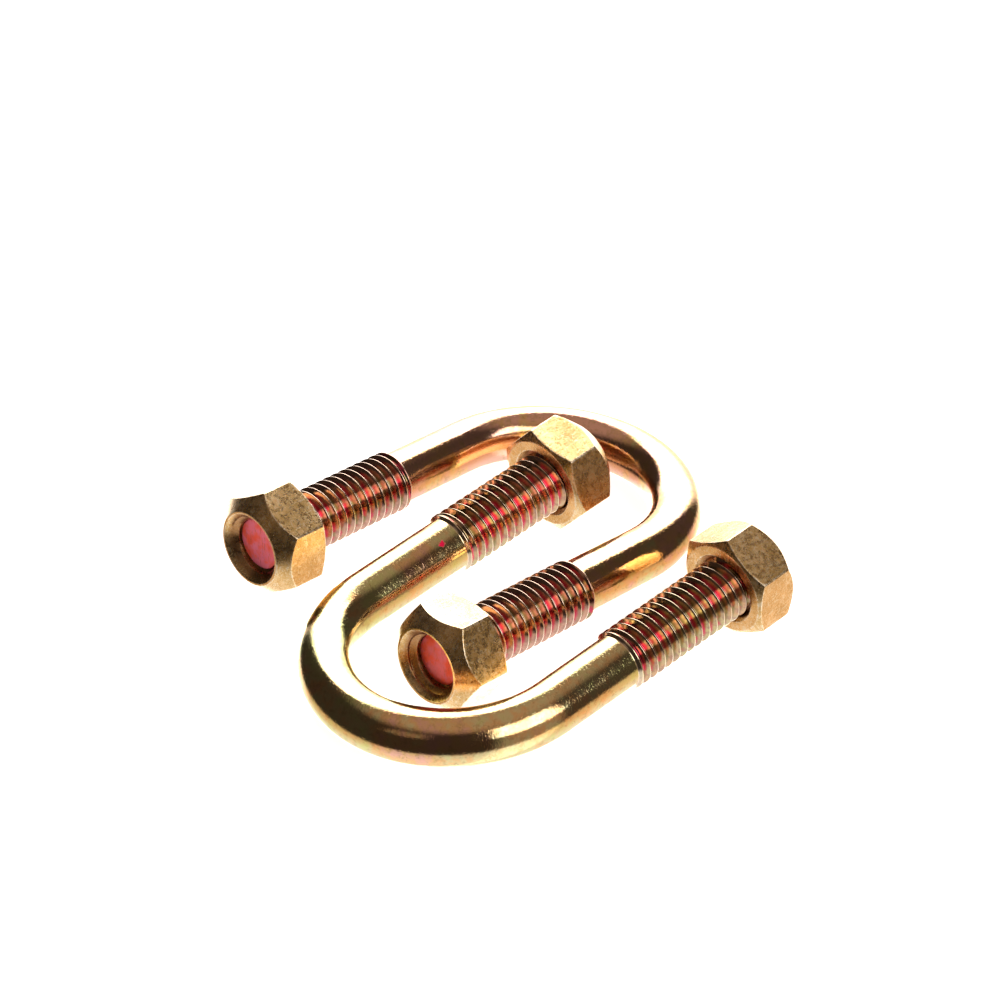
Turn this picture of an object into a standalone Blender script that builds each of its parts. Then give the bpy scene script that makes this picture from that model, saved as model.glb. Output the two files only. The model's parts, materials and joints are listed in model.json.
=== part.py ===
"""A nested pair of yellow-zinc steel U-bolts, with a conical lock nut run onto each of the four legs.

Metres, +Z up. X runs along the legs, Y across them, and the pair lies on the plane z = 0. Each U-bolt
stands on the bottom of its bend and on the lowest edge of its two nuts, which sets how it leans.
A lock nut is one forging. Its conical collar is a body of its own here, because a nut both turns and
travels: the collar carries the travel along the leg, and the hexagon turns on it.
"""

import math

import bmesh
import bpy
from mathutils import Matrix, Vector

INCH = 0.0254

# The thread, 7/16 inch with 14 turns to the inch. It is rolled, so the plain rod has its pitch diameter.
THREAD_DIAMETER = 7 / 16 * INCH
THREAD_PITCH = INCH / 14
PITCH_DIAMETER_DROP = 0.6495

# The U-bolt.
INNER_WIDTH = 1.375 * INCH
OVERALL_LENGTH = 3.0 * INCH
TIP_RADIUS = 0.0046
RUNOUT_LENGTH = 0.0008

# The lock nut, measured along its leg from the face that bears on the work.
ACROSS_FLATS = 11 / 16 * INCH
NUT_HEIGHT = 0.0102
BEARING_RADIUS = 0.00826
BEARING_CHAMFER_DEG = 30
CONE_DEG = 45
RIM_RADIUS = 0.0069
RIM_WIDTH = 0.0004
COUNTERSINK_DEPTH = 0.0009
COLLAR_HEIGHT = 0.0013

# What keeps two pieces apart: the thread in its nut, and the collar above the hexagon.
CLEARANCE = 0.0003

# How the far U-bolt nests in the near one: the gap from the tip of its inner leg to the near bend, and
# the gap that neighbouring nuts have when they pass each other.
TIP_TO_BEND = 0.01134
NUT_PASSING_GAP = 0.0005

# Each leg: its U-bolt, its side of the bend, the length of its thread, how far its nut is run on from
# the tip to the bearing face, and how far the nut is turned from having a corner straight down.
LEGS = {
    "near_left": {"bolt": "near", "side": 1, "thread": 0.0288, "run_on": 0.0062, "turn_deg": -16.5},
    "near_right": {"bolt": "near", "side": -1, "thread": 0.0328, "run_on": 0.0076, "turn_deg": 4},
    "far_left": {"bolt": "far", "side": -1, "thread": 0.0310, "run_on": 0.0078, "turn_deg": 1},
    "far_right": {"bolt": "far", "side": 1, "thread": 0.0315, "run_on": 0.0071, "turn_deg": 31},
}

# Facets.
ROD_SIDES = 24
BEND_STEPS = 24
NUT_SIDES = 36
SMOOTH_UNDER_DEG = 28

# What follows from the sizes above.
THREAD_RADIUS = THREAD_DIAMETER / 2
ROD_RADIUS = (THREAD_DIAMETER - PITCH_DIAMETER_DROP * THREAD_PITCH) / 2
BEND_RADIUS = INNER_WIDTH / 2 + ROD_RADIUS
LEG_LENGTH = OVERALL_LENGTH - BEND_RADIUS - ROD_RADIUS
BORE_RADIUS = (THREAD_RADIUS + CLEARANCE) / math.cos(math.pi / NUT_SIDES)
COLLAR_START = NUT_HEIGHT - COLLAR_HEIGHT
HEX_HEIGHT = COLLAR_START - CLEARANCE
MOUTH_RADIUS = RIM_RADIUS - RIM_WIDTH
NEST_SHIFT = (
    LEG_LENGTH + TIP_TO_BEND - INNER_WIDTH / 2,
    2 * ACROSS_FLATS / math.sqrt(3) + NUT_PASSING_GAP,
)


def clear_scene():
    for obj in list(bpy.data.objects):
        bpy.data.objects.remove(obj, do_unlink=True)


def yellow_zinc(name, colour, roughness):
    """Yellow chromate over bright zinc plate."""
    material = bpy.data.materials.new(name)
    material.use_nodes = True
    shader = material.node_tree.nodes["Principled BSDF"]
    shader.inputs["Base Color"].default_value = (*colour, 1)
    shader.inputs["Metallic"].default_value = 1
    shader.inputs["Roughness"].default_value = roughness
    material.diffuse_color = (*colour, 1)
    return material


def closed_loft(name, rings, material, capped):
    """Joins rings of points with quads: with a cap at each end, or the last ring back onto the first."""
    shape = bmesh.new()
    loops = [[shape.verts.new(point) for point in ring] for ring in rings]
    following = loops[1:] if capped else loops[1:] + loops[:1]
    for lower, upper in zip(loops, following):
        for i in range(len(lower)):
            j = (i + 1) % len(lower)
            shape.faces.new((lower[i], lower[j], upper[j], upper[i]))
    if capped:
        shape.faces.new(reversed(loops[0]))
        shape.faces.new(loops[-1])
    bmesh.ops.recalc_face_normals(shape, faces=shape.faces)
    mesh = bpy.data.meshes.new(name)
    shape.to_mesh(mesh)
    shape.free()
    mesh.shade_smooth()
    mesh.set_sharp_from_angle(angle=math.radians(SMOOTH_UNDER_DEG))
    mesh.materials.append(material)
    obj = bpy.data.objects.new(name, mesh)
    bpy.context.scene.collection.objects.link(obj)
    return obj


def leg_stations(leg):
    """(distance from the bend centre, radius) along one leg, from the thread's run-out to the tip."""
    start = LEG_LENGTH - leg["thread"]
    return [
        (start - RUNOUT_LENGTH, ROD_RADIUS),
        (start, THREAD_RADIUS),
        (LEG_LENGTH - (THREAD_RADIUS - TIP_RADIUS), THREAD_RADIUS),
        (LEG_LENGTH, TIP_RADIUS),
    ]


def rod_ring(centre, across, radius):
    angles = (2 * math.pi * i / ROD_SIDES for i in range(ROD_SIDES))
    return [centre + radius * (across * math.cos(a) + Vector((0, 0, 1)) * math.sin(a)) for a in angles]


def u_bolt(name, legs, material):
    """One U-bolt about its bend centre: its legs point along +X, and its bend lies at -X."""
    left = next(leg for leg in legs if leg["side"] > 0)
    right = next(leg for leg in legs if leg["side"] < 0)
    rings = []
    for along, radius in reversed(leg_stations(left)):
        rings.append(rod_ring(Vector((along, BEND_RADIUS, 0)), Vector((0, 1, 0)), radius))
    for step in range(BEND_STEPS + 1):
        angle = math.pi / 2 + math.pi * step / BEND_STEPS
        outward = Vector((math.cos(angle), math.sin(angle), 0))
        rings.append(rod_ring(BEND_RADIUS * outward, outward, ROD_RADIUS))
    for along, radius in leg_stations(right):
        rings.append(rod_ring(Vector((along, -BEND_RADIUS, 0)), Vector((0, -1, 0)), radius))
    return closed_loft(name, rings, material, capped=True)


def hexagon_reach(angle):
    """How far the hexagon's side lies from the axis, with a corner at angle 0."""
    from_flat = (angle + math.pi / 6) % (math.pi / 3) - math.pi / 6
    return ACROSS_FLATS / 2 / math.cos(math.pi / 6 - abs(from_flat))


def turned(points, angle):
    """A profile of (radius, height) points, stood up at one angle about Z."""
    return [Vector((r * math.cos(angle), r * math.sin(angle), z)) for r, z in points]


def chamfer_height(radius):
    """How far above the bearing face the bearing-side chamfer lies at a radius."""
    return (radius - BEARING_RADIUS) * math.tan(math.radians(BEARING_CHAMFER_DEG))


def cone_radius(height):
    """The lock cone's radius at a height above the bearing face."""
    return RIM_RADIUS + (NUT_HEIGHT - height) / math.tan(math.radians(CONE_DEG))


def nut_hexagon(name, material):
    """The nut below its collar: a hexagon with a chamfered bearing side, cut by the lock cone above."""
    columns = []
    for i in range(NUT_SIDES):
        angle = 2 * math.pi * i / NUT_SIDES
        reach = hexagon_reach(angle)
        profile = [
            (MOUTH_RADIUS, 0),
            (BEARING_RADIUS, 0),
            (reach, chamfer_height(reach)),
            (reach, NUT_HEIGHT - (reach - RIM_RADIUS) * math.tan(math.radians(CONE_DEG))),
            (cone_radius(HEX_HEIGHT), HEX_HEIGHT),
            (BORE_RADIUS, HEX_HEIGHT),
            (BORE_RADIUS, COUNTERSINK_DEPTH),
        ]
        columns.append(turned(profile, angle))
    return closed_loft(name, columns, material, capped=False)


def nut_collar(name, material):
    """The ring at the top of the lock cone, which is squeezed so that it grips the thread."""
    profile = [
        (BORE_RADIUS, COLLAR_START),
        (cone_radius(COLLAR_START), COLLAR_START),
        (RIM_RADIUS, NUT_HEIGHT),
        (MOUTH_RADIUS, NUT_HEIGHT),
        (BORE_RADIUS, NUT_HEIGHT - COUNTERSINK_DEPTH),
    ]
    angles = (2 * math.pi * i / NUT_SIDES for i in range(NUT_SIDES))
    return closed_loft(name, [turned(profile, angle) for angle in angles], material, capped=False)


def nut_place(leg):
    """A nut on its U-bolt: its Z runs out along the leg, and a corner is turn_deg from straight down."""
    origin = Vector((LEG_LENGTH - leg["run_on"], leg["side"] * BEND_RADIUS, 0))
    axes = Matrix(((0, 0, 1), (0, 1, 0), (-1, 0, 0))).to_4x4()
    return Matrix.Translation(origin) @ axes @ Matrix.Rotation(math.radians(leg["turn_deg"]), 4, "Z")


def chamfer_edge(leg):
    """The points on a nut, in its U-bolt's frame, where the bearing-side chamfer meets the hexagon."""
    edge = []
    for i in range(NUT_SIDES):
        angle = 2 * math.pi * i / NUT_SIDES
        reach = hexagon_reach(angle)
        edge.extend(turned([(reach, chamfer_height(reach))], angle))
    return [nut_place(leg) @ point for point in edge]


def standing(legs):
    """The rotation and lift that stand a U-bolt on its bend and on the lowest point of each nut."""
    edges = [chamfer_edge(leg) for leg in legs]
    up = Vector((0.1, 0, 1)).normalized()
    for _ in range(20):
        level = Vector((up.x, up.y, 0)).normalized()
        bend = -BEND_RADIUS * level - ROD_RADIUS * up
        first, second = (min(edge, key=up.dot) for edge in edges)
        up = (first - bend).cross(second - bend).normalized()
        up *= math.copysign(1, up.z)
    along = (Vector((1, 0, 0)) - up.x * up).normalized()
    turn = Matrix((along, up.cross(along), up)).to_4x4()
    return Matrix.Translation((0, 0, -up.dot(bend))) @ turn


def place(obj, parent, matrix):
    obj.parent = parent
    obj.matrix_world = matrix


def stand_on_origin(root, objects):
    """Moves everything so that the origin is the middle of the bottom of the box around it all."""
    bpy.context.view_layer.update()
    points = [obj.matrix_world @ vertex.co for obj in objects for vertex in obj.data.vertices]
    low = [min(point[axis] for point in points) for axis in range(3)]
    high = [max(point[axis] for point in points) for axis in range(3)]
    root.location = (-(low[0] + high[0]) / 2, -(low[1] + high[1]) / 2, -low[2])


def build():
    clear_scene()
    rod_plate = yellow_zinc("yellow_zinc_rod", (0.60, 0.40, 0.13), 0.16)
    nut_plate = yellow_zinc("yellow_zinc_nut", (0.52, 0.34, 0.11), 0.30)
    root = bpy.data.objects.new("u_bolt_pair", None)
    bpy.context.scene.collection.objects.link(root)
    nest = Matrix.Translation((*NEST_SHIFT, 0)) @ Matrix.Rotation(math.pi, 4, "Z")
    objects = []
    for bolt, ground in (("near", Matrix.Identity(4)), ("far", nest)):
        names = [name for name, leg in LEGS.items() if leg["bolt"] == bolt]
        legs = [LEGS[name] for name in names]
        stand = ground @ standing(legs)
        rod = u_bolt(f"{bolt}_u_bolt", legs, rod_plate)
        place(rod, root, stand)
        objects.append(rod)
        for name, leg in zip(names, legs):
            for piece in (nut_hexagon(f"{name}_nut", nut_plate), nut_collar(f"{name}_collar", nut_plate)):
                place(piece, root, stand @ nut_place(leg))
                objects.append(piece)
    stand_on_origin(root, objects)


build()
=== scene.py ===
"""The looks of two nested yellow-zinc steel U-bolts, with a conical lock nut on each of the four legs.

Each U-bolt is one swept rod with a rolled right-hand thread on both legs. Each nut is one forging whose
bore has the same thread, so it turns along its leg without cutting into it.
"""

import json
import math

import bmesh
import bpy
from mathutils import Matrix, Vector, noise

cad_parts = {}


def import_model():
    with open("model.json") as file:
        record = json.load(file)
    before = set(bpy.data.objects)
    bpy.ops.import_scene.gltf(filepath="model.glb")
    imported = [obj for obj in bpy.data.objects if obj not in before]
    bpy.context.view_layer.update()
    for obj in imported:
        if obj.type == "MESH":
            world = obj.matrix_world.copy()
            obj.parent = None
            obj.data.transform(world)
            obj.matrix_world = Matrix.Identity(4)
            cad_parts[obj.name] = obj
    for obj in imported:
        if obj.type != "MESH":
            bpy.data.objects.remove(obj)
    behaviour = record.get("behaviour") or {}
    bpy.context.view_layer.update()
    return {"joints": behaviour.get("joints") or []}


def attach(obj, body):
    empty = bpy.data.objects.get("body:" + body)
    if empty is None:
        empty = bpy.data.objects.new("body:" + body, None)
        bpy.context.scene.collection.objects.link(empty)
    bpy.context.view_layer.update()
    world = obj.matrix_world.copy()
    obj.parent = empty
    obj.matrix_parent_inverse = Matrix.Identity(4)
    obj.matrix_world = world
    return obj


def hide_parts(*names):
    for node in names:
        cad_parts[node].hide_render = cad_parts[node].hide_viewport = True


INCH = 0.0254
MM = 0.001

# The thread, 7/16 inch with 14 turns to the inch, and the plain rod that it is rolled on. A 60 degree
# thread's pitch diameter and a nut's minor diameter lie these parts of a pitch inside its crests.
PITCH_DIAMETER_INSET = 0.6495
MINOR_RADIUS_INSET = 0.5413
THREAD_RADIUS = 7 / 32 * INCH
THREAD_PITCH = INCH / 14
ROD_RADIUS = THREAD_RADIUS - PITCH_DIAMETER_INSET * THREAD_PITCH / 2
SHOULDER_LENGTH = 0.7 * MM
SHOULDER_STEPS = (1.0, 0.9, 0.75, 0.55, 0.35, 0.15)
THREAD_FADE = 0.6 * THREAD_PITCH
CREST_WOBBLE = 0.035 * MM
NUT_THREAD_GAP = 0.12 * MM
NUT_MINOR_RADIUS = THREAD_RADIUS - MINOR_RADIUS_INSET * THREAD_PITCH

# A rod's end: a chamfer at 45 degrees, a small flat, and a shallow dish of (part of the flat, depth) steps.
TIP_RADIUS = 4.6 * MM
TIP_FLAT_RADIUS = TIP_RADIUS - 0.28 * MM
TIP_CROWN = 0.05 * MM
TIP_DISH = ((0.7, 0.04 * MM), (0.35, 0.10 * MM))
TIP_DISH_DEPTH = 0.12 * MM

# The U-bolt.
BEND_RADIUS = 1.375 / 2 * INCH + ROD_RADIUS
LEG_LENGTH = 3.0 * INCH - BEND_RADIUS - ROD_RADIUS

# The lock nut, measured along its leg from its bearing face.
ACROSS_FLATS = 11 / 16 * INCH
NUT_HEIGHT = 10.2 * MM
BEARING_RADIUS = 8.26 * MM
RIM_RADIUS = 6.9 * MM
MOUTH_RADIUS = 6.5 * MM
COUNTERSINK_RADIUS = 5.7 * MM
COUNTERSINK_DEPTH = 0.9 * MM
CORNER_FILLET = 0.35 * MM
CORNER_WEAR_DEGREES = 1.2
CHAMFER_SLOPE = math.tan(math.radians(30))
WEAR_REACH = 0.4 * MM

# A U-bolt's material slots after its plain rod's.
THREAD_SLOT = 1
END_SLOT = 2

# Each leg: its side of the bend, its thread's length, how far the nut is run on, and the nut's turn.
LEGS = {
    "near_left": {"bolt": "near", "side": 1, "thread": 28.8 * MM, "run_on": 6.2 * MM, "turn": -16.5},
    "near_right": {"bolt": "near", "side": -1, "thread": 32.8 * MM, "run_on": 7.6 * MM, "turn": 4.0},
    "far_left": {"bolt": "far", "side": -1, "thread": 31.0 * MM, "run_on": 7.8 * MM, "turn": 1.0},
    "far_right": {"bolt": "far", "side": 1, "thread": 31.5 * MM, "run_on": 7.1 * MM, "turn": 31.0},
}

# The rolled thread's section over one turn: (part of a pitch past the crest, depth in pitches).
HALF_THREAD = [(0.0, 0.0), (0.03, 0.004), (0.058, 0.026), (0.09, 0.072), (0.24, 0.315), (0.36, 0.502),
               (0.42, 0.572), (0.5, 0.6134)]
THREAD_SECTION = HALF_THREAD + [(1 - step, depth) for step, depth in reversed(HALF_THREAD[1:-1])]
ROOT_DEPTH = HALF_THREAD[-1][1]

# How finely the meshes are cut. A nut's columns are at these degrees past each of its corners.
ROD_COLUMNS = 64
BEND_STEPS = 96
MERGE_DISTANCE = 0.04 * MM
SUPPORT_DISTANCES = (0.12 * MM, 0.6 * MM)
PLAIN_PARTS = (0.8, 0.6, 0.4, 0.2, 0.04)
CORNER_STEPS = (-1.1, -0.55, 0.0, 0.55, 1.1, 3.5, 8.0, 13.0, 18.5, 24.0, 30.0, 36.0, 41.5, 47.0, 52.0, 56.5)

# The camera.
VIEW_AZIMUTH = 45.7244
VIEW_ELEVATION = 34.6935
VIEW_ROLL = -0.6905
VIEW_DISTANCE = 0.7589
VIEW_TARGET = Vector((0.02184, 0.02357, 0.0))
LENS = 151.82
SENSOR_WIDTH = 36

# The studio: which way each light lies, in degrees round from the camera, and how bright it is.
WALL_TURN = 176
WALL_LIGHT_LOW = 1.6
WALL_LIGHT_RISE = 4.4
LAMP_TURN = 46
LAMP_LIGHT = 3.6
LAMP_FOOT_LIGHT = 0.34
FILL_TURN = -42
FILL_LIGHT = 0.22
CEILING_LIGHT = 0.40
ROOM_LIGHT = 0.045
RIGHT_LIGHT = 0.03
TABLE_LIGHT = 0.85
FAR_TABLE_LIGHT = 1.2
BACKDROP_LIGHT = 1.1

# The dim parts of the room are brownish.
ROOM_TINT = (1.0, 0.80, 0.66)

# The table, seen low from the sides, takes a warm cast from the metal on it.
WARM_CAST = (1.0, 0.74, 0.50)

# The table itself.
TABLE_SIZE = 6
TABLE_DROP = 0.0002
TABLE_WHITE = (0.9, 0.9, 0.9, 1)
TABLE_GLOW = 0.85


def smooth(value, low, high):
    """0 below low and 1 above high, with a soft passage between."""
    t = min(max((value - low) / (high - low), 0.0), 1.0)
    return t * t * (3 - 2 * t)


# ---------------------------------------------------------------- shader maths


class Wire:
    """A shader socket that adds Math nodes when it is used in a Python expression."""

    def __init__(self, bench, socket):
        self.bench = bench
        self.socket = socket

    def maths(self, operation, first, second=0.0):
        return self.bench.node("ShaderNodeMath", {"operation": operation}, {0: first, 1: second})

    def __add__(self, other):
        return self.maths("ADD", self, other)

    def __sub__(self, other):
        return self.maths("SUBTRACT", self, other)

    def __rsub__(self, other):
        return self.maths("SUBTRACT", other, self)

    def __mul__(self, other):
        return self.maths("MULTIPLY", self, other)

    def __truediv__(self, other):
        return self.maths("DIVIDE", self, other)

    def __pow__(self, other):
        return self.maths("POWER", self, other)

    __radd__ = __add__
    __rmul__ = __mul__


class Bench:
    """Where one material or the studio's surroundings are put together."""

    def __init__(self, tree):
        self.tree = tree
        tree.nodes.clear()

    def node(self, kind, settings=None, links=None, output=0):
        """Any node: its type, its settings, what its sockets take, and which output to hand on."""
        made = self.tree.nodes.new(kind)
        for key, value in (settings or {}).items():
            if key == "stops":
                ramp = made.color_ramp
                while len(ramp.elements) < len(value):
                    ramp.elements.new(0.5)
                for element, (position, colour) in zip(ramp.elements, value):
                    element.position = position
                    element.color = (*colour, 1)
            else:
                setattr(made, key, value)
        for key, value in (links or {}).items():
            if isinstance(value, Wire):
                self.tree.links.new(value.socket, made.inputs[key])
            else:
                made.inputs[key].default_value = value
        return Wire(self, made.outputs[output])

    def between(self, value, low, high):
        """0 to 1 as the value goes from low to high, softly."""
        return self.node("ShaderNodeMapRange", {"interpolation_type": "SMOOTHSTEP"},
                         {0: value, 1: low, 2: high, 3: 0.0, 4: 1.0})

    def blend(self, part, first, second, how="MIX"):
        colours = [c if isinstance(c, Wire) else (*c, 1) for c in (first, second)]
        return self.node("ShaderNodeMix", {"data_type": "RGBA", "blend_type": how},
                         {0: part, 6: colours[0], 7: colours[1]}, output=2)

    def millimetres(self, stretch=(1, 1, 1), shift=(0, 0, 0)):
        """The place on the piece, in millimetres."""
        place = self.node("ShaderNodeTexCoord", output=3)
        return self.node("ShaderNodeMapping", None,
                         {0: place, 1: shift, 3: tuple(1000 * s for s in stretch)})

    def cloud(self, place, size, detail=2.0, roughness=0.5, distortion=0.0):
        """Noise with lumps of about this many millimetres."""
        return self.node("ShaderNodeTexNoise", {"noise_dimensions": "3D"},
                         {"Vector": place, "Scale": 1 / size, "Detail": detail,
                          "Roughness": roughness, "Distortion": distortion})

    def mark(self, name):
        """A value that the mesh carries, such as how deep a point is in the thread."""
        return self.node("ShaderNodeAttribute", {"attribute_name": name}, output=2)


def plated(name, build, *choices):
    """A metal material; build gives its colour, roughness, relief in millimetres, and metallic part."""
    material = bpy.data.materials.new(name)
    material.use_nodes = True
    bench = Bench(material.node_tree)
    colour, roughness, relief, metallic = build(bench, *choices)
    bump = bench.node("ShaderNodeBump", None, {"Strength": 1.0, "Distance": MM, "Height": relief})
    shader = bench.node("ShaderNodeBsdfPrincipled", None, {
        "Base Color": colour, "Metallic": metallic, "Roughness": roughness, "Normal": bump})
    finish_with(bench, shader)
    return material


def finish_with(bench, shader, kind="ShaderNodeOutputMaterial"):
    """Wire the last shader into the tree's output."""
    end = bench.tree.nodes.new(kind)
    bench.tree.links.new(shader.socket, end.inputs[0])


# ---------------------------------------------------------------- finishes

# The film's colours, from where it is thinnest to where it is thickest.
COPPER_PINK = (0.76, 0.42, 0.30)
AMBER = (0.76, 0.46, 0.20)
GOLD = (0.69, 0.55, 0.28)
STRAW_GREEN = (0.64, 0.60, 0.25)
OLIVE = (0.52, 0.44, 0.17)
FILM_STOPS = [(0.34, COPPER_PINK), (0.43, AMBER), (0.50, GOLD), (0.58, STRAW_GREEN), (0.68, OLIVE)]

# Stains, bare edges and dye, and painted light: a cream highlight on the thread crests, and brown shade on
# the thread flanks and in the nut bores.
UMBER = (0.50, 0.32, 0.13)
CREAM_HIGHLIGHT_AND_WEAR = (0.88, 0.76, 0.58)
DYE_RED = (0.56, 0.06, 0.10)
DYE_DROP = (0.85, 0.01, 0.07)
DARK_BROWN = (0.20, 0.12, 0.05)
# Painted shade for the thread flanks.
FLANK_SHADE_BROWN = (0.35, 0.20, 0.15)
ROOT_OLIVE = (0.26, 0.20, 0.09)
STREAK_RED = (0.48, 0.09, 0.06)
# Painted shade inside the nuts' bores.
BORE_SHADE_BROWN = (0.34, 0.15, 0.06)

# A nut's mottled colours, and what its scratches and its web of fine pale lines are.
NUT_STOPS = [(0.38, (0.48, 0.28, 0.10)), (0.46, (0.56, 0.33, 0.11)), (0.51, (0.66, 0.39, 0.14)),
             (0.56, (0.86, 0.54, 0.25)), (0.64, (0.66, 0.48, 0.18))]
SCRATCH_PALE = (0.86, 0.72, 0.50)
STRAND_PALE = (0.90, 0.68, 0.40)

# How far each U-bolt's film leans from gold to pink (below 0) or to green, and the drop's place in mm.
FILM_LEAN = {"near": 0.01, "far": -0.14}
THREAD_LEAN = -0.05
DROP_PLACE = (-6.17, 9.31, 11.53)


def chromate_film(bench, place, lean):
    """The film's colour, which drifts between copper pink, gold and straw green, and leans one way."""
    drift = bench.cloud(place, 14.0, 1.0) * 0.5 + bench.cloud(place, 3.5, 3.0, 0.6) * 0.5 + lean
    return bench.node("ShaderNodeValToRGB", {"stops": FILM_STOPS}, {0: drift})


def rod_finish(bench, lean):
    """The plain rod: a bright film with brown blotches, dark specks and a fine peel."""
    place = bench.millimetres()
    film = chromate_film(bench, place, lean)
    grain = bench.cloud(place, 0.20, 2.0, 0.6)
    peel = bench.cloud(place, 0.5, 2.0, 0.6)
    blotch = bench.cloud(place, 1.3, 4.0, 0.65)
    ripple = bench.cloud(place, 3.0, 2.0, 0.5)
    colour = bench.blend(bench.between(blotch, 0.50, 0.70) * 0.5, film, UMBER)
    specks = bench.between(grain, 0.60, 0.72) * bench.between(blotch, 0.4, 0.6)
    colour = bench.blend(specks * 0.6, colour, DARK_BROWN)
    drop = dye_drop(bench, place)
    colour = bench.blend(drop, colour, DYE_DROP)
    roughness = 0.10 + bench.between(blotch, 0.45, 0.8) * 0.08 + specks * 0.12
    pimples = bench.between(bench.cloud(place, 0.38, 1.0), 0.52, 0.72)
    relief = grain * 0.0030 + peel * 0.0100 + ripple * 0.020 + pimples * 0.0055
    return colour, roughness, relief, 1 - drop * 0.85


def dye_drop(bench, place):
    """A small drop of red dye on the near left leg, just before its thread."""
    away = bench.node("ShaderNodeVectorMath", {"operation": "DISTANCE"},
                      {0: place, 1: DROP_PLACE}, output=1)
    ragged = away + (bench.cloud(place, 0.6, 2.0) - 0.5) * 0.9
    return 1 - bench.between(ragged, 0.45, 0.75)


def thread_finish(bench, lean):
    """The rolled thread: a painted highlight of pale cream on the crests, painted shade of brown on the
    flanks, and olive roots with pools of red dye.
    """
    place = bench.millimetres()
    depth = bench.mark("thread_depth")
    film = chromate_film(bench, place, lean + THREAD_LEAN)
    grain = bench.cloud(place, 0.20, 2.0, 0.6)
    blotch = bench.cloud(place, 1.4, 4.0, 0.6)
    # Painted shade: the flanks are darkened toward brown, more where the blotches are, in place of the dark
    # room they reflect.
    shaded_flank = bench.blend(0.45 + bench.between(blotch, 0.42, 0.62) * 0.4, film, FLANK_SHADE_BROWN)
    pools = bench.between(bench.cloud(place, 3.5, 2.0) * 0.7 + blotch * 0.3, 0.42, 0.57)
    root = bench.blend(pools, ROOT_OLIVE, DYE_RED)
    colour = bench.blend(bench.between(depth + blotch * 0.35, 0.50, 0.98), shaded_flank, root)
    # Painted highlight: the crests are painted pale cream in place of the light they catch.
    crest = 1 - bench.between(depth + (grain - 0.5) * 0.12, 0.02, 0.10)
    colour = bench.blend(crest * 0.4, colour, CREAM_HIGHLIGHT_AND_WEAR)
    roughness = 0.09 + blotch * 0.08
    relief = grain * 0.0030 + blotch * 0.016
    return colour, roughness, relief, 1.0


def rod_end_finish(bench, lean):
    """A rod's end: orange and pink dye over the sheared steel, with darker red streaks."""
    place = bench.millimetres()
    grain = bench.cloud(place, 0.3, 4.0, 0.7)
    blotch = bench.cloud(place, 2.4, 3.0, 0.6)
    streak = bench.cloud(bench.millimetres(stretch=(1.0, 1.6, 0.3)), 0.5, 3.0, 0.7)
    orange = (0.96, 0.25 + lean, 0.06)
    pink = (0.94, 0.20, 0.15 - lean)
    colour = bench.blend(bench.between(blotch, 0.34, 0.66), orange, pink)
    colour = bench.blend(bench.between(streak, 0.54, 0.70) * 0.6, colour, STREAK_RED)
    return colour, 0.34 + grain * 0.2, grain * 0.03 + streak * 0.05, 0.6


def nut_finish(bench):
    """A nut: mottled brown film, pale scratches, a web of fine lines, bare edges, and painted shade
    darkening the bore.
    """
    place = bench.millimetres()
    edge = bench.mark("worn_edge")
    bore = bench.mark("bore")
    mottle = bench.cloud(place, 1.1, 5.0, 0.70, 0.4)
    patch = bench.cloud(place, 6.0, 2.0, 0.5)
    fleck = bench.cloud(place, 0.35, 8.0, 0.9, 1.2)
    grain = bench.cloud(place, 0.2, 3.0, 0.7)
    shade = mottle * 0.25 + patch * 0.3 + fleck * 0.45
    colour = bench.node("ShaderNodeValToRGB", {"stops": NUT_STOPS}, {0: shade})
    scratch_place = bench.millimetres(stretch=(0.35, 1.8, 0.6), shift=(3, 1, 2))
    scratch = bench.between(bench.cloud(scratch_place, 0.5, 2.0, 0.6, 0.8), 0.60, 0.66)
    other_place = bench.millimetres(stretch=(1.6, 0.5, 0.4), shift=(8, 5, 1))
    other = bench.between(bench.cloud(other_place, 0.6, 2.0, 0.6, 1.0), 0.60, 0.66)
    scratch = bench.node("ShaderNodeMath", {"operation": "MAXIMUM"}, {0: scratch, 1: other})
    colour = bench.blend(scratch * 0.55, colour, SCRATCH_PALE)
    warp = bench.node("ShaderNodeTexNoise", {"noise_dimensions": "3D"},
                      {"Vector": place, "Scale": 1.3}, output=1)
    bent = bench.node("ShaderNodeVectorMath", {"operation": "MULTIPLY_ADD"},
                      {0: warp, 1: (2.4, 2.4, 2.4), 2: place})
    web = bench.node("ShaderNodeTexVoronoi", {"feature": "DISTANCE_TO_EDGE"},
                     {"Vector": bent, "Scale": 1.25})
    strand = (1 - bench.between(web, 0.015, 0.11)) * bench.between(fleck + patch * 0.3, 0.52, 0.70)
    colour = bench.blend(strand * 0.6, colour, STRAND_PALE)
    wear = bench.between(edge + (mottle - 0.5) * 1.8 + (grain - 0.5) * 0.8, 0.75, 1.2)
    colour = bench.blend(wear * 0.7, colour, CREAM_HIGHLIGHT_AND_WEAR)
    # Painted shade: the bore is darkened toward brown.
    colour = bench.blend(bore * 0.75, colour, BORE_SHADE_BROWN)
    roughness = 0.24 + bench.between(mottle, 0.35, 0.7) * 0.12 - wear * 0.04
    relief = grain * 0.004 + mottle * 0.004 + fleck * 0.0035 + strand * 0.004 - scratch * 0.002
    return colour, roughness, relief, 1.0


# ---------------------------------------------------------------- meshes


def thread_cut(part):
    """How deep the thread is, in pitches, at a part of a pitch past its crest."""
    part = part % 1.0
    for (start, before), (stop, after) in zip(THREAD_SECTION, THREAD_SECTION[1:] + [(1.0, 0.0)]):
        if part <= stop:
            return before + (after - before) * (part - start) / (stop - start)
    return 0.0


def helical_part(angle, along):
    """How far past a crest a point is, in parts of a pitch, on a right-hand thread."""
    return (along / THREAD_PITCH - angle / (2 * math.pi)) % 1.0


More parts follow.
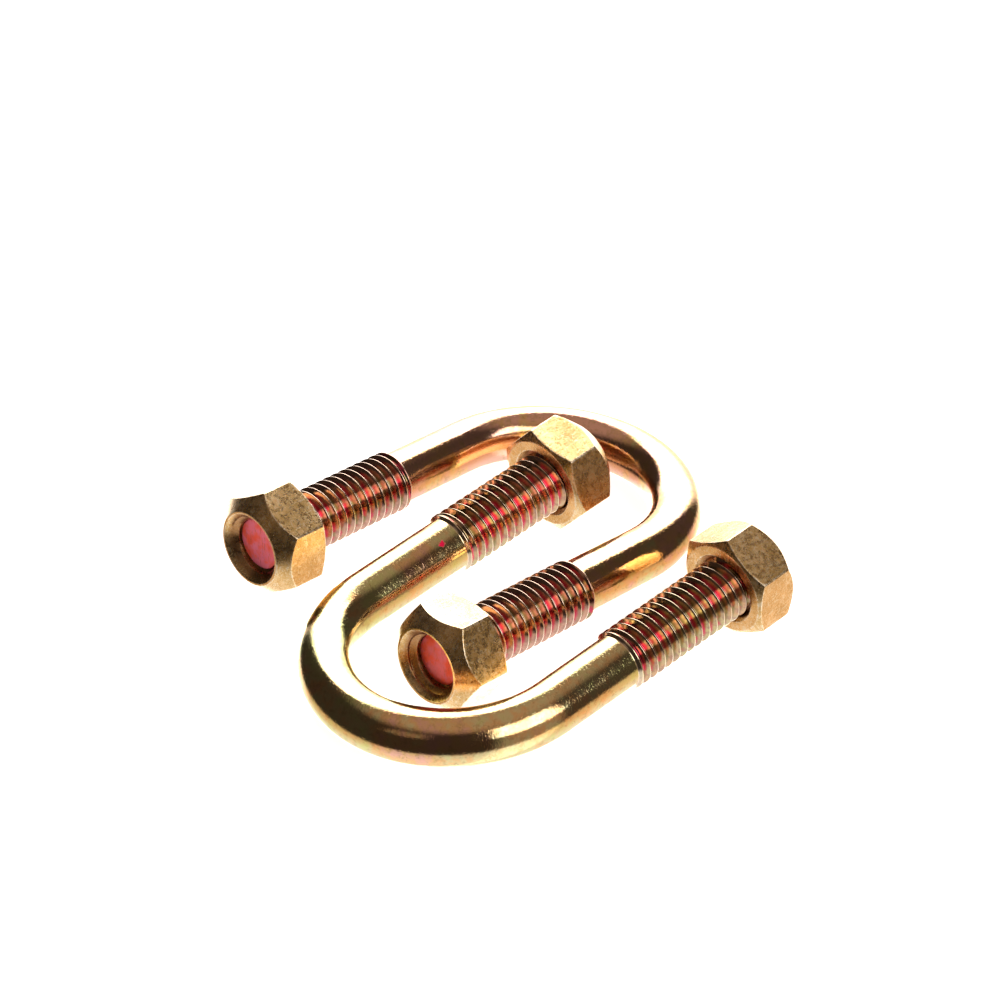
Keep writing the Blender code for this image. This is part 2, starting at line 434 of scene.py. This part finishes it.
def spoke(angle, reach, along):
    """The point this far from the axis, at this angle round it and this far along it."""
    return Vector((reach * math.cos(angle), reach * math.sin(angle), along))


def ring(shape, place, angles, along, radius):
    """A closed ring of points; radius may be a number or a function of angle and place along."""
    points = []
    for angle in angles:
        reach = radius(angle, along) if callable(radius) else radius
        points.append(shape.verts.new(place @ spoke(angle, reach, along)))
    return points


def join_rings(shape, lower, upper, finish=0):
    """A band of faces between two rings."""
    for i in range(len(lower)):
        j = (i + 1) % len(lower)
        shape.faces.new((lower[i], lower[j], upper[j], upper[i])).material_index = finish


def threaded_wall(shape, place, angles, low, high, wall, finish, depth_layer):
    """A wall of points laid along the thread's helix, between flat rings at low and high."""
    count = len(angles)
    steps = [part for part, _ in THREAD_SECTION]
    low_ring = ring(shape, place, angles, low, wall)
    high_ring = ring(shape, place, angles, high, wall)
    grid = {}

    def point(row, column):
        if column == count:
            row, column = row + len(steps), 0
        angle = angles[column]
        turn, step = divmod(row, len(steps))
        along = THREAD_PITCH * (turn + steps[step] + angle / (2 * math.pi))
        if along <= low + MERGE_DISTANCE:
            return low_ring[column]
        if along >= high - MERGE_DISTANCE:
            return high_ring[column]
        if (row, column) not in grid:
            vertex = shape.verts.new(place @ spoke(angle, wall(angle, along), along))
            vertex[depth_layer] = thread_cut(steps[step]) / ROOT_DEPTH
            grid[row, column] = vertex
        return grid[row, column]

    first = (math.floor(low / THREAD_PITCH) - 2) * len(steps)
    last = (math.ceil(high / THREAD_PITCH) + 1) * len(steps)
    for row in range(first, last):
        for column in range(count):
            corners = []
            for vertex in (point(row, column), point(row, column + 1),
                           point(row + 1, column + 1), point(row + 1, column)):
                if vertex not in corners:
                    corners.append(vertex)
            if len(corners) > 2:
                shape.faces.new(corners).material_index = finish
    for vertices, along in ((low_ring, low), (high_ring, high)):
        for vertex, angle in zip(vertices, angles):
            vertex[depth_layer] = thread_cut(helical_part(angle, along)) / ROOT_DEPTH
    return low_ring, high_ring


def rod_wall(start, seed):
    """The radius of a threaded leg at an angle and a distance from the bend centre."""

    def wall(angle, along):
        cut = thread_cut(helical_part(angle, along)) * THREAD_PITCH
        cut *= smooth(along, start - THREAD_FADE / 3, start + THREAD_FADE)
        spot = Vector((math.cos(angle) * 3, math.sin(angle) * 3, along / MM * 0.9 + seed))
        wobble = CREST_WOBBLE * (noise.noise(spot) - 0.5)
        chamfer = TIP_RADIUS + (LEG_LENGTH - along)
        return min(THREAD_RADIUS - cut + wobble, chamfer)

    return wall


def leg_frame(leg, along=0.0):
    """A leg's own frame in its U-bolt's: Z runs out along the leg and X points down."""
    origin = Vector((along, leg["side"] * BEND_RADIUS, 0))
    return Matrix.Translation(origin) @ Matrix(((0, 0, 1), (0, 1, 0), (-1, 0, 0))).to_4x4()


def threaded_leg(shape, leg, seed, depth_layer):
    """One leg from its thread's shoulder to its tip. Gives the ring where it meets the plain rod."""
    angles = [2 * math.pi * i / ROD_COLUMNS for i in range(ROD_COLUMNS)]
    place = leg_frame(leg)
    start = LEG_LENGTH - leg["thread"]
    wall = rod_wall(start, seed)
    low, high = threaded_wall(shape, place, angles, start, LEG_LENGTH, wall, THREAD_SLOT, depth_layer)
    shoulder = []
    for part in SHOULDER_STEPS:
        radius = ROD_RADIUS + (THREAD_RADIUS - ROD_RADIUS) * smooth(1 - part, 0, 1)
        shoulder.append(ring(shape, place, angles, start - SHOULDER_LENGTH * part, radius))
    shoulder.append(low)
    for lower, upper in zip(shoulder, shoulder[1:]):
        join_rings(shape, lower, upper, THREAD_SLOT)
    outer = ring(shape, place, angles, LEG_LENGTH + TIP_CROWN, TIP_FLAT_RADIUS)
    join_rings(shape, high, outer, END_SLOT)
    for part, sink in TIP_DISH:
        inner = ring(shape, place, angles, LEG_LENGTH + TIP_CROWN - sink, TIP_FLAT_RADIUS * part)
        join_rings(shape, outer, inner, END_SLOT)
        outer = inner
    centre = shape.verts.new(place @ Vector((0, 0, LEG_LENGTH + TIP_CROWN - TIP_DISH_DEPTH)))
    for i in range(ROD_COLUMNS):
        shape.faces.new((outer[i], outer[(i + 1) % ROD_COLUMNS], centre)).material_index = END_SLOT
    return shoulder[0]


def u_bolt(name, bolt_frame, legs, finishes):
    """A whole U-bolt, from one tip round the bend to the other."""
    shape = bmesh.new()
    depth_layer = shape.verts.layers.float.new("thread_depth")
    left = next(leg for leg in legs if leg["side"] > 0)
    right = next(leg for leg in legs if leg["side"] < 0)
    rings = [threaded_leg(shape, left, 3.1, depth_layer)]
    rings += plain_rod(shape, left, 1)
    for step in range(BEND_STEPS + 1):
        turn = math.pi / 2 + math.pi * step / BEND_STEPS
        outward = Vector((math.cos(turn), math.sin(turn), 0))
        points = []
        for i in range(ROD_COLUMNS):
            angle = 2 * math.pi * i / ROD_COLUMNS
            across = math.sin(angle) * outward - math.cos(angle) * Vector((0, 0, 1))
            points.append(shape.verts.new(BEND_RADIUS * outward + ROD_RADIUS * across))
        rings.append(points)
    rings += plain_rod(shape, right, -1)
    end = threaded_leg(shape, right, 8.7, depth_layer)
    rings.append([end[-i % ROD_COLUMNS] for i in range(ROD_COLUMNS)])
    for lower, upper in zip(rings, rings[1:]):
        join_rings(shape, lower, upper)
    return finished(name, shape, bolt_frame, finishes)


def plain_rod(shape, leg, direction):
    """The rings of the plain stretch between the thread and the bend."""
    length = LEG_LENGTH - leg["thread"] - SHOULDER_LENGTH
    spots = [length - gap for gap in SUPPORT_DISTANCES] + [length * part for part in PLAIN_PARTS]
    if direction < 0:
        spots.reverse()
    rings = []
    for along in spots:
        points = []
        for i in range(ROD_COLUMNS):
            angle = 2 * math.pi * i / ROD_COLUMNS * direction
            points.append(shape.verts.new(leg_frame(leg) @ spoke(angle, ROD_RADIUS, along)))
        rings.append(points)
    return rings


def finished(name, shape, place, finishes):
    """The finished piece: its mesh set in place, smooth shaded, with its materials."""
    bmesh.ops.recalc_face_normals(shape, faces=shape.faces)
    mesh = bpy.data.meshes.new(name)
    shape.to_mesh(mesh)
    shape.free()
    mesh.transform(place)
    mesh.shade_smooth()
    for finish in finishes:
        mesh.materials.append(finish)
    obj = bpy.data.objects.new(name, mesh)
    bpy.context.scene.collection.objects.link(obj)
    return obj


def hexagon_reach(degrees):
    """How far a rounded hexagon's side lies from its axis, with a corner at 0 degrees."""
    from_corner = math.radians((degrees + 30) % 60 - 30)
    half = ACROSS_FLATS / 2
    centre = (half - CORNER_FILLET) / math.cos(math.pi / 6)
    arc_end = math.atan2(CORNER_FILLET * 0.5, centre + CORNER_FILLET * math.cos(math.pi / 6))
    if abs(from_corner) < arc_end:
        return centre * math.cos(from_corner) + math.sqrt(
            CORNER_FILLET ** 2 - (centre * math.sin(from_corner)) ** 2)
    return half / math.cos(math.pi / 6 - abs(from_corner))


def rounded(corners):
    """A profile with its corners rounded: (radius, height, wear) points from (radius, height, fillet)."""
    points = [(corners[0][0], corners[0][1], 0.0)]
    for before, here, after in zip(corners, corners[1:], corners[2:]):
        here_at = Vector(here[:2])
        back = Vector(before[:2]) - here_at
        on = Vector(after[:2]) - here_at
        turn = math.pi - back.angle(on)
        reach = min(here[2] * math.tan(turn / 2), back.length * 0.45, on.length * 0.45)
        support = min(reach + WEAR_REACH, back.length * 0.48), min(reach + WEAR_REACH, on.length * 0.48)
        back.normalize()
        on.normalize()
        first = here_at + back * reach
        last = here_at + on * reach
        points.append((*(here_at + back * support[0]), 0.0))
        for part in (0.0, 0.33, 0.67, 1.0):
            spot = first * (1 - part) ** 2 + here_at * 2 * part * (1 - part) + last * part ** 2
            points.append((*spot, 1.0))
        points.append((*(here_at + on * support[1]), 0.0))
    points.append((corners[-1][0], corners[-1][1], 0.0))
    return points


def lock_nut(name, place, turn, phase, finish):
    """A lock nut: a hexagon with a chamfered bearing side, a lock cone above, and a threaded bore.

    phase is how far along its leg the nut bears, which sets where its thread starts.
    """
    shape = bmesh.new()
    wear_layer = shape.verts.layers.float.new("worn_edge")
    bore_shade_layer = shape.verts.layers.float.new("bore")
    depth_layer = shape.verts.layers.float.new("thread_depth")
    degrees = [60 * corner + step for corner in range(6) for step in CORNER_STEPS]
    angles = [math.radians(d + turn) for d in degrees]
    columns = []
    for d, angle in zip(degrees, angles):
        reach = hexagon_reach(d)
        on_corner = abs((d + 30) % 60 - 30) < CORNER_WEAR_DEGREES
        foot = (reach - BEARING_RADIUS) * CHAMFER_SLOPE
        shoulder = NUT_HEIGHT - (reach - RIM_RADIUS)
        profile = rounded([
            (COUNTERSINK_RADIUS, COUNTERSINK_DEPTH, 0),
            (MOUTH_RADIUS, 0, 0.12 * MM),
            (BEARING_RADIUS, 0, 0.35 * MM),
            (reach, foot, 0.2 * MM),
            (reach, shoulder, 0.25 * MM),
            (RIM_RADIUS, NUT_HEIGHT, 0.22 * MM),
            (MOUTH_RADIUS, NUT_HEIGHT, 0.12 * MM),
            (COUNTERSINK_RADIUS, NUT_HEIGHT - COUNTERSINK_DEPTH, 0),
        ])
        column = []
        for radius, height, wear in profile[1:-1]:
            vertex = shape.verts.new((radius * math.cos(angle), radius * math.sin(angle), height))
            side = on_corner and radius > reach - 0.02 * MM
            vertex[wear_layer] = 1.0 if side else wear
            column.append(vertex)
        columns.append(column)
    rings = [list(points) for points in zip(*columns)]

    def bore(angle, along):
        """The bore's radius, with along measured on the leg, so that its thread meets the leg's."""
        height = along - phase
        thread = THREAD_RADIUS - thread_cut(helical_part(angle, along)) * THREAD_PITCH + NUT_THREAD_GAP
        slope = (MOUTH_RADIUS - COUNTERSINK_RADIUS) / COUNTERSINK_DEPTH
        mouth = MOUTH_RADIUS - slope * min(height, NUT_HEIGHT - height)
        return max(thread, NUT_MINOR_RADIUS, mouth)

    shifted = Matrix.Translation((0, 0, -phase))
    start = phase + COUNTERSINK_DEPTH
    end = phase + NUT_HEIGHT - COUNTERSINK_DEPTH
    low, high = threaded_wall(shape, shifted, angles, start, end, bore, 0, depth_layer)
    # Mark the bore, where painted shade darkens the nut.
    for vertex in shape.verts:
        if math.hypot(vertex.co.x, vertex.co.y) < COUNTERSINK_RADIUS + 0.2 * MM:
            vertex[bore_shade_layer] = 1.0
    rings = [low] + rings + [high]
    for lower, upper in zip(rings, rings[1:]):
        join_rings(shape, lower, upper)
    nut = finished(name, shape, place, [finish])
    sharpen = nut.modifiers.new("flat faces", "WEIGHTED_NORMAL")
    sharpen.keep_sharp = True
    sharpen.weight = 80
    return nut


# ---------------------------------------------------------------- studio


def grey(bench, amount):
    """A value as a colour."""
    return bench.node("ShaderNodeCombineColor", None, {0: amount, 1: amount, 2: amount})


def studio_surroundings(back, right):
    """A dark room with a bright wall behind, a bright table below and a soft lamp at the front right."""
    world = bpy.data.worlds.new("studio")
    bpy.context.scene.world = world
    world.use_nodes = True
    bench = Bench(world.node_tree)
    look = bench.node("ShaderNodeTexCoord", output=0)

    def along(direction):
        return bench.node("ShaderNodeVectorMath", {"operation": "DOT_PRODUCT"},
                          {0: look, 1: direction}, output=1)

    def facing(degrees):
        """1 straight toward a turn round from the camera, and less away from it."""
        turn = math.radians(degrees)
        return (side * math.sin(turn) - behind * math.cos(turn)) / level

    up = along((0, 0, 1))
    behind = along(back)
    side = along(right)
    # A little over 1, so that it isn't 0 straight up or down.
    level = (1.0001 - up * up) ** 0.5
    table_edge = behind * 0.2 + side * 0.08 - 0.30
    table = bench.between(table_edge - up, -0.05, 0.12)
    table_depth = bench.between(table_edge - up, 0.0, 0.6)
    wall = bench.between(facing(WALL_TURN), 0.76, 0.85) * (1 - bench.between(up, 0.74, 0.84))
    wall_light = WALL_LIGHT_LOW + bench.between(up, 0.1, 0.45) * WALL_LIGHT_RISE
    lamp_line = facing(LAMP_TURN)
    lamp = bench.between(lamp_line, 0.875, 0.94) * bench.between(up, 0.27, 0.36)
    lamp = lamp * (1 - bench.between(up, 0.76, 0.84))
    lamp_foot = bench.between(lamp_line, 0.88, 0.97) * (1 - bench.between(up, 0.27, 0.38))
    far_table = bench.between(behind, 0.35, 0.8) * table
    bright = lamp * LAMP_LIGHT + wall * wall_light + far_table * FAR_TABLE_LIGHT
    glow = table * (TABLE_LIGHT + table_depth * 0.40 + lamp_foot * 0.8)
    cast = bench.blend(bench.between(side * side, 0.25, 0.75), (1, 1, 1), WARM_CAST)
    table_light = bench.blend(1.0, grey(bench, glow), cast, "MULTIPLY")
    ceiling = bench.between(up, 0.70, 0.95)
    fill = bench.between(facing(FILL_TURN), 0.95, 0.99) * bench.between(up, 0.42, 0.55)
    fill = fill * (1 - bench.between(up, 0.66, 0.76))
    dim = ceiling * CEILING_LIGHT + lamp_foot * (1 - table) * LAMP_FOOT_LIGHT + ROOM_LIGHT
    dim = dim + fill * FILL_LIGHT + bench.between(side, 0.3, 0.9) * RIGHT_LIGHT
    room_light = bench.blend(1.0, grey(bench, dim), ROOM_TINT, "MULTIPLY")
    light = bench.blend(1.0, grey(bench, bright), room_light, "ADD")
    light = bench.blend(1.0, light, table_light, "ADD")
    seen = bench.node("ShaderNodeLightPath", output=0)
    surroundings = bench.node("ShaderNodeBackground", None, {0: light, 1: 1.0})
    backdrop = bench.node("ShaderNodeBackground", None, {0: (1, 1, 1, 1), 1: BACKDROP_LIGHT})
    both = bench.node("ShaderNodeMixShader", None, {0: seen, 1: surroundings, 2: backdrop})
    finish_with(bench, both, "ShaderNodeOutputWorld")


def white_table():
    """The pale floor, lit from below as well as from above."""
    bpy.ops.mesh.primitive_plane_add(size=TABLE_SIZE, location=(0, 0, -TABLE_DROP))
    table = bpy.context.object
    table.name = "white_table"
    material = bpy.data.materials.new("white_table")
    material.use_nodes = True
    bench = Bench(material.node_tree)
    shader = bench.node("ShaderNodeBsdfPrincipled", None, {
        "Base Color": TABLE_WHITE, "Roughness": 0.6, "Specular IOR Level": 0.0,
        "Emission Color": (1, 1, 1, 1), "Emission Strength": TABLE_GLOW})
    finish_with(bench, shader)
    table.data.materials.append(material)
    table.visible_glossy = False


def set_camera():
    """The camera. Gives the level directions away from it and to its right."""
    azimuth, elevation, roll = (math.radians(a) for a in (VIEW_AZIMUTH, VIEW_ELEVATION, VIEW_ROLL))
    back = Vector((math.cos(azimuth), math.sin(azimuth), 0))
    look = back * math.cos(elevation) - Vector((0, 0, math.sin(elevation)))
    right = Vector((math.sin(azimuth), -math.cos(azimuth), 0))
    up = right.cross(look)
    turned_right = math.cos(roll) * right + math.sin(roll) * up
    turned_up = math.cos(roll) * up - math.sin(roll) * right
    camera = bpy.data.objects.new("camera", bpy.data.cameras.new("camera"))
    bpy.context.scene.collection.objects.link(camera)
    camera.data.lens = LENS
    camera.data.sensor_width = SENSOR_WIDTH
    camera.data.clip_start = 0.01
    turn = Matrix((turned_right, turned_up, -look)).transposed().to_4x4()
    camera.matrix_world = Matrix.Translation(VIEW_TARGET - VIEW_DISTANCE * look) @ turn
    bpy.context.scene.camera = camera
    return back, right


# ---------------------------------------------------------------- build


def leg_places(frame):
    """Where each leg's nut bears, and which way the leg runs out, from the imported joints."""
    turns = {joint["name"]: joint for joint in frame["joints"]}
    places = {}
    for name in LEGS:
        joint = turns[f"{name}_turn"]
        places[name] = (Vector(joint["pos_m"]), Vector(joint["axis"]).normalized())
    return places


def bolt_place(names, places):
    """A U-bolt's own frame: X out along the legs, Y across them, the origin at the bend centre."""
    bases = {}
    for name in names:
        origin, axis = places[name]
        bases[LEGS[name]["side"]] = origin + axis * (LEGS[name]["run_on"] - LEG_LENGTH)
    across = (bases[1] - bases[-1]).normalized()
    up = axis.cross(across)
    turn = Matrix((axis, across, up)).transposed().to_4x4()
    return Matrix.Translation((bases[1] + bases[-1]) / 2) @ turn


def main():
    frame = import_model()
    nut_plate = plated("yellow_zinc_nut", nut_finish)
    places = leg_places(frame)
    for bolt, lean in FILM_LEAN.items():
        rod = plated(f"{bolt}_yellow_zinc_rod", rod_finish, lean)
        thread = plated(f"{bolt}_yellow_zinc_thread", thread_finish, lean)
        rod_end = plated(f"{bolt}_dyed_rod_end", rod_end_finish, lean)
        names = [name for name in LEGS if LEGS[name]["bolt"] == bolt]
        place = bolt_place(names, places)
        legs = [LEGS[name] for name in names]
        piece = u_bolt(f"{bolt}_threaded_rod", place, legs, [rod, thread, rod_end])
        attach(piece, f"{bolt}_u_bolt")
        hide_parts(f"{bolt}_u_bolt")
        for name in names:
            leg = LEGS[name]
            bearing = LEG_LENGTH - leg["run_on"]
            nut_place = place @ leg_frame(leg, bearing)
            nut = lock_nut(f"{name}_lock_nut", nut_place, leg["turn"], bearing, nut_plate)
            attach(nut, f"{name}_nut")
            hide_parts(f"{name}_nut", f"{name}_collar")
    white_table()
    back, right = set_camera()
    studio_surroundings(back, right)
    bpy.context.scene.view_settings.view_transform = "Standard"


main()
